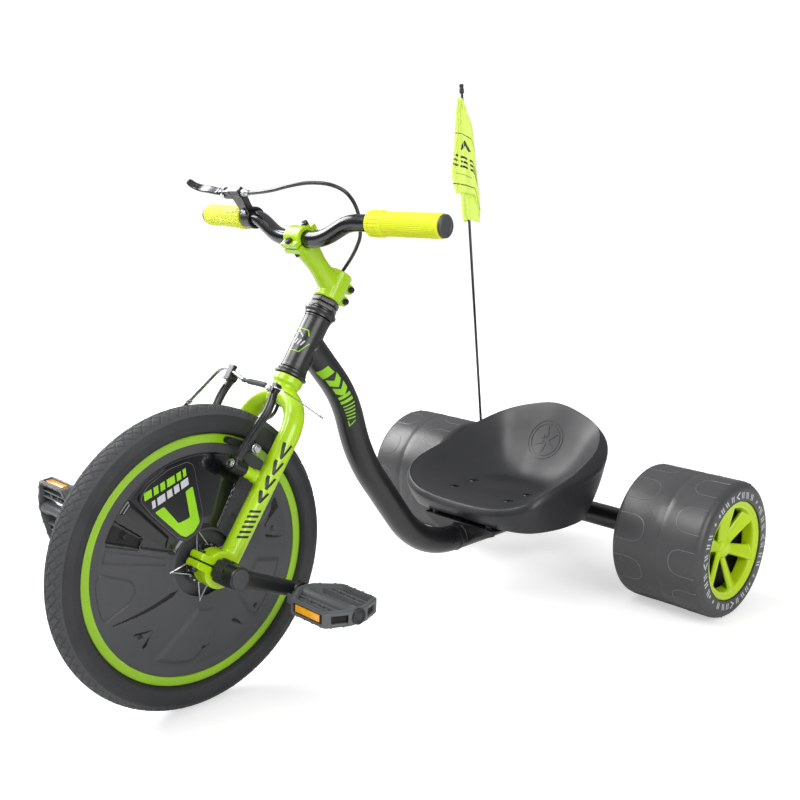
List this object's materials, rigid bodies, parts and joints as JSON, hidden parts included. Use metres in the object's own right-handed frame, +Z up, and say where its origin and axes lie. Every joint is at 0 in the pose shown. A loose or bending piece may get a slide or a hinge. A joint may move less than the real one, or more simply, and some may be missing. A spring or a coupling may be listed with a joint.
{
  "type": "drift trike",
  "caption": "Low drift trike with a cranked front wheel behind smooth disc covers, a dropped tube frame, a bucket seat, plastic drum rear wheels, a front rim brake and a safety flag.",
  "frame": {"origin": "on the ground under the middle of the overall length and on the middle plane between the wheels", "axes": "+Z up, -Y the way it rides, +X the rider's left"},
  "size_m": [0.721, 1.0758, 0.8515],
  "materials": {
    "lime_paint": "gloss paint",
    "lime_plastic": "satin moulded plastic",
    "lime_rubber": "soft matt rubber",
    "lime_cloth": "thin woven polyester",
    "black_paint": "gloss paint",
    "black_plastic": "fine-grained moulded plastic",
    "boot_rubber": "matt rubber",
    "grey_plastic": "satin moulded plastic",
    "wheel_plastic": "satin hard plastic",
    "tyre_rubber": "matt tread rubber",
    "pad_rubber": "matt rubber",
    "dark_chrome": "smoked chrome",
    "bright_steel": "bright plated steel",
    "black_steel": "gloss black coating"
  },
  "bodies": {
    "frame": {"main_tube": "black_paint", "rear_axle_tube": "black_paint", "seat_bracket": "black_paint", "seat": "black_plastic", "seat_bolt_front_left": "black_steel", "seat_bolt_front_right": "black_steel", "seat_bolt_rear_left": "black_steel", "seat_bolt_rear_right": "black_steel", "headset_cup_lower": "black_paint", "headset_cup_upper": "black_paint", "flag_socket": "black_plastic", "flag_pole": "black_plastic", "flag_pole_cap": "black_plastic", "flag": "lime_cloth"},
    "steering_assembly": {"fork": "lime_paint", "axle_clamp_left": "lime_paint", "axle_clamp_right": "lime_paint", "headset_locknut": "black_paint", "stem": "lime_paint", "stem_cap": "lime_paint", "stem_cap_bolt_front": "black_steel", "stem_cap_bolt_rear": "black_steel", "stem_pinch_bolt_lower": "black_steel", "stem_pinch_bolt_upper": "black_steel", "handlebar": "dark_chrome", "grip_left": "lime_rubber", "grip_right": "lime_rubber", "grip_plug_left": "grey_plastic", "grip_plug_right": "grey_plastic", "lever_perch": "black_steel", "lever_pivot_pin": "bright_steel", "cable_adjuster": "bright_steel", "brake_cable_upper": "black_plastic", "brake_cable_lower": "black_plastic", "brake_pivot_bolt_left": "bright_steel", "brake_pivot_bolt_right": "bright_steel"},
    "front_wheel": {"front_tyre": "tyre_rubber", "front_rim": "lime_paint", "disc_cover_left": "black_plastic", "disc_cover_right": "black_plastic", "front_hub": "black_paint"},
    "cranks": {"crank_axle": "black_steel", "crank_arm_left": "black_paint", "crank_arm_right": "black_paint", "pedal_spindle_left": "bright_steel", "pedal_spindle_right": "bright_steel"},
    "pedal_left": {"pedal_left": "grey_plastic"},
    "pedal_right": {"pedal_right": "grey_plastic"},
    "brake_lever": {"brake_lever": "dark_chrome"},
    "brake_arm_left": {"brake_arm_left": "black_steel", "brake_pad_left": "pad_rubber", "brake_wire": "bright_steel"},
    "brake_arm_right": {"brake_arm_right": "black_steel", "brake_pad_right": "pad_rubber", "brake_noodle": "bright_steel", "wire_sleeve": "boot_rubber"},
    "rear_wheel_left": {"rear_drum_left": "wheel_plastic", "rear_wheel_centre_left": "lime_plastic"},
    "rear_wheel_right": {"rear_drum_right": "wheel_plastic", "rear_wheel_centre_right": "lime_plastic"}
  },
  "joints": [
    {"name": "steering", "type": "hinge", "parent": "frame", "child": "steering_assembly", "pos_m": [0, -0.31723, 0.203], "axis": [0, 0.5635, 0.8261], "range_deg": [-45, 45]},
    {"name": "front_wheel_spin", "type": "hinge", "parent": "steering_assembly", "child": "front_wheel", "pos_m": [0, -0.3349, 0.203], "axis": [1, 0, 0], "continuous": true},
    {"name": "crank_spin", "type": "hinge", "parent": "steering_assembly", "child": "cranks", "pos_m": [0, -0.3349, 0.203], "axis": [1, 0, 0], "continuous": true},
    {"name": "pedal_left_spin", "type": "hinge", "parent": "cranks", "child": "pedal_left", "pos_m": [0.166, -0.24172, 0.16151], "axis": [1, 0, 0], "continuous": true},
    {"name": "pedal_right_spin", "type": "hinge", "parent": "cranks", "child": "pedal_right", "pos_m": [-0.166, -0.42808, 0.24449], "axis": [1, 0, 0], "continuous": true},
    {"name": "brake_lever_squeeze", "type": "hinge", "parent": "steering_assembly", "child": "brake_lever", "pos_m": [-0.138, -0.16724, 0.66653], "axis": [0, -0.766, -0.6428], "range_deg": [0, 20], "stiffness_Nm_per_rad": 0.5, "springref_deg": -17.19},
    {"name": "brake_arm_left_swing", "type": "hinge", "parent": "steering_assembly", "child": "brake_arm_left", "pos_m": [0.04, -0.2893, 0.32558], "axis": [0, -0.8261, 0.5635], "range_deg": [0, 2], "deforming": ["brake_wire"]},
    {"name": "brake_arm_right_swing", "type": "hinge", "parent": "steering_assembly", "child": "brake_arm_right", "pos_m": [-0.04, -0.2893, 0.32558], "axis": [0, 0.8261, -0.5635], "range_deg": [0, 2], "deforming": ["wire_sleeve", "brake_cable_lower"]},
    {"name": "rear_wheel_left_spin", "type": "hinge", "parent": "frame", "child": "rear_wheel_left", "pos_m": [0.26, 0.4271, 0.1108], "axis": [1, 0, 0], "continuous": true},
    {"name": "rear_wheel_right_spin", "type": "hinge", "parent": "frame", "child": "rear_wheel_right", "pos_m": [-0.26, 0.4271, 0.1108], "axis": [1, 0, 0], "continuous": true}
  ],
  "couplings": [
    {"joint": "brake_arm_left_swing", "follows": "brake_lever_squeeze", "ratio": 0.1},
    {"joint": "brake_arm_right_swing", "follows": "brake_lever_squeeze", "ratio": 0.1}
  ]
}
